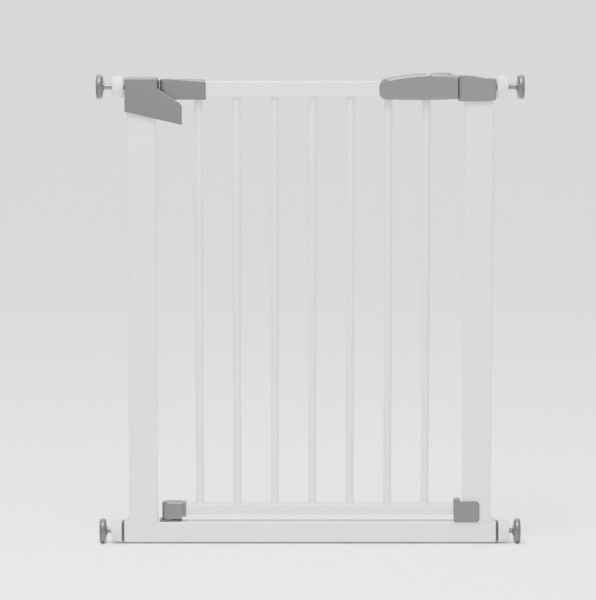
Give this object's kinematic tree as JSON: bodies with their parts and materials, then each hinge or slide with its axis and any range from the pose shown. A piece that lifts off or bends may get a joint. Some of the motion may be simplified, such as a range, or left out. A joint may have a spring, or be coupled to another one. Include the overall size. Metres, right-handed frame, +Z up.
{
  "type": "safety baby gate",
  "caption": "Pressure-fitted metal safety gate with a barred door that lifts and swings, a handle with a sliding release and screw pads at the corners.",
  "frame": {"origin": "midway between the wall pads, in the middle of the depth, level with the lowest edge of the lower pads, which is the floor", "axes": "+X along the gate towards the latch post, +Y to the side that the door opens to, +Z up"},
  "size_m": [0.682, 0.04, 0.762],
  "materials": {
    "white_paint": "satin white powder coat",
    "grey_plastic": "fine-grained mid grey moulding",
    "light_grey_plastic": "fine-grained grey moulding, a little lighter",
    "dark_plastic": "dark grey moulding",
    "white_plastic": "white moulding",
    "zinc_steel": "bright zinc plated",
    "pad_rubber": "dark grey rubber",
    "pad_plastic": "grey moulding"
  },
  "bodies": {
    "frame": {"bottom_bar": "white_paint", "left_post": "white_paint", "right_post": "white_paint", "left_end_plug": "dark_plastic", "right_end_plug": "dark_plastic", "left_spindle_bush": "dark_plastic", "right_spindle_bush": "dark_plastic", "hinge_post_cap": "grey_plastic", "latch_post_cap": "light_grey_plastic", "strike_plate": "zinc_steel", "upper_hinge_pin": "zinc_steel", "lower_hinge_pin": "zinc_steel", "lower_hinge_base": "dark_plastic", "lower_catch": "grey_plastic", "cap_screws": "zinc_steel", "base_screws": "zinc_steel"},
    "hinge_sleeves": {"upper_hinge_sleeve": "white_plastic", "lower_hinge_sleeve": "white_plastic"},
    "door": {"top_rail": "white_paint", "bottom_rail": "white_paint", "door_bar_1": "white_paint", "door_bar_2": "white_paint", "door_bar_3": "white_paint", "door_bar_4": "white_paint", "door_bar_5": "white_paint", "door_bar_6": "white_paint", "door_bar_7": "white_paint", "upper_hinge_cap": "grey_plastic", "lower_hinge_cap": "grey_plastic", "latch_end_cap": "grey_plastic", "front_handle_shell": "light_grey_plastic", "rear_handle_shell": "light_grey_plastic", "handle_screws": "zinc_steel", "latch_spring": "zinc_steel"},
    "button": {"release_button": "light_grey_plastic"},
    "bolt": {"latch_bolt": "zinc_steel"},
    "upper_left_thumb_nut": {"upper_left_nut": "white_plastic"},
    "upper_left_wall_foot": {"upper_left_spindle": "zinc_steel", "upper_left_pad_cup": "pad_plastic", "upper_left_pad_face": "pad_rubber"},
    "upper_right_thumb_nut": {"upper_right_nut": "white_plastic"},
    "upper_right_wall_foot": {"upper_right_spindle": "zinc_steel", "upper_right_pad_cup": "pad_plastic", "upper_right_pad_face": "pad_rubber"},
    "lower_left_thumb_nut": {"lower_left_nut": "white_plastic"},
    "lower_left_wall_foot": {"lower_left_spindle": "zinc_steel", "lower_left_pad_cup": "pad_plastic", "lower_left_pad_face": "pad_rubber"},
    "lower_right_thumb_nut": {"lower_right_nut": "white_plastic"},
    "lower_right_wall_foot": {"lower_right_spindle": "zinc_steel", "lower_right_pad_cup": "pad_plastic", "lower_right_pad_face": "pad_rubber"}
  },
  "joints": [
    {"name": "door_lift", "type": "slide", "parent": "frame", "child": "hinge_sleeves", "axis": [0, 0, 1], "range_m": [0, 0.01]},
    {"name": "door_swing", "type": "hinge", "parent": "hinge_sleeves", "child": "door", "pos_m": [-0.2275, 0, 0.4], "axis": [0, 0, 1], "range_deg": [0, 90]},
    {"name": "button_slide", "type": "slide", "parent": "door", "child": "button", "axis": [-1, 0, 0], "range_m": [0, 0.0065], "stiffness_N_per_m": 400, "springref_m": -0.008, "deforming": ["latch_spring"]},
    {"name": "bolt_slide", "type": "slide", "parent": "door", "child": "bolt", "axis": [-1, 0, 0], "range_m": [0, 0.0065], "deforming": ["latch_spring"]},
    {"name": "upper_left_nut_turn", "type": "hinge", "parent": "frame", "child": "upper_left_thumb_nut", "pos_m": [-0.31, 0, 0.739], "axis": [-1, 0, 0], "range_deg": [-1080, 6480]},
    {"name": "upper_left_foot_slide", "type": "slide", "parent": "frame", "child": "upper_left_wall_foot", "axis": [-1, 0, 0], "range_m": [-0.0045, 0.027]},
    {"name": "upper_right_nut_turn", "type": "hinge", "parent": "frame", "child": "upper_right_thumb_nut", "pos_m": [0.31, 0, 0.739], "axis": [1, 0, 0], "range_deg": [-1080, 6480]},
    {"name": "upper_right_foot_slide", "type": "slide", "parent": "frame", "child": "upper_right_wall_foot", "axis": [1, 0, 0], "range_m": [-0.0045, 0.027]},
    {"name": "lower_left_nut_turn", "type": "hinge", "parent": "frame", "child": "lower_left_thumb_nut", "pos_m": [-0.31, 0, 0.02], "axis": [-1, 0, 0], "range_deg": [-1080, 6480]},
    {"name": "lower_left_foot_slide", "type": "slide", "parent": "frame", "child": "lower_left_wall_foot", "axis": [-1, 0, 0], "range_m": [-0.0045, 0.027]},
    {"name": "lower_right_nut_turn", "type": "hinge", "parent": "frame", "child": "lower_right_thumb_nut", "pos_m": [0.31, 0, 0.02], "axis": [1, 0, 0], "range_deg": [-1080, 6480]},
    {"name": "lower_right_foot_slide", "type": "slide", "parent": "frame", "child": "lower_right_wall_foot", "axis": [1, 0, 0], "range_m": [-0.0045, 0.027]}
  ],
  "couplings": [
    {"joint": "bolt_slide", "follows": "button_slide", "ratio": 1},
    {"joint": "upper_left_nut_turn", "follows": "upper_left_foot_slide", "rad_per_m": 4188.8},
    {"joint": "upper_right_nut_turn", "follows": "upper_right_foot_slide", "rad_per_m": 4188.8},
    {"joint": "lower_left_nut_turn", "follows": "lower_left_foot_slide", "rad_per_m": 4188.8},
    {"joint": "lower_right_nut_turn", "follows": "lower_right_foot_slide", "rad_per_m": 4188.8}
  ]
}
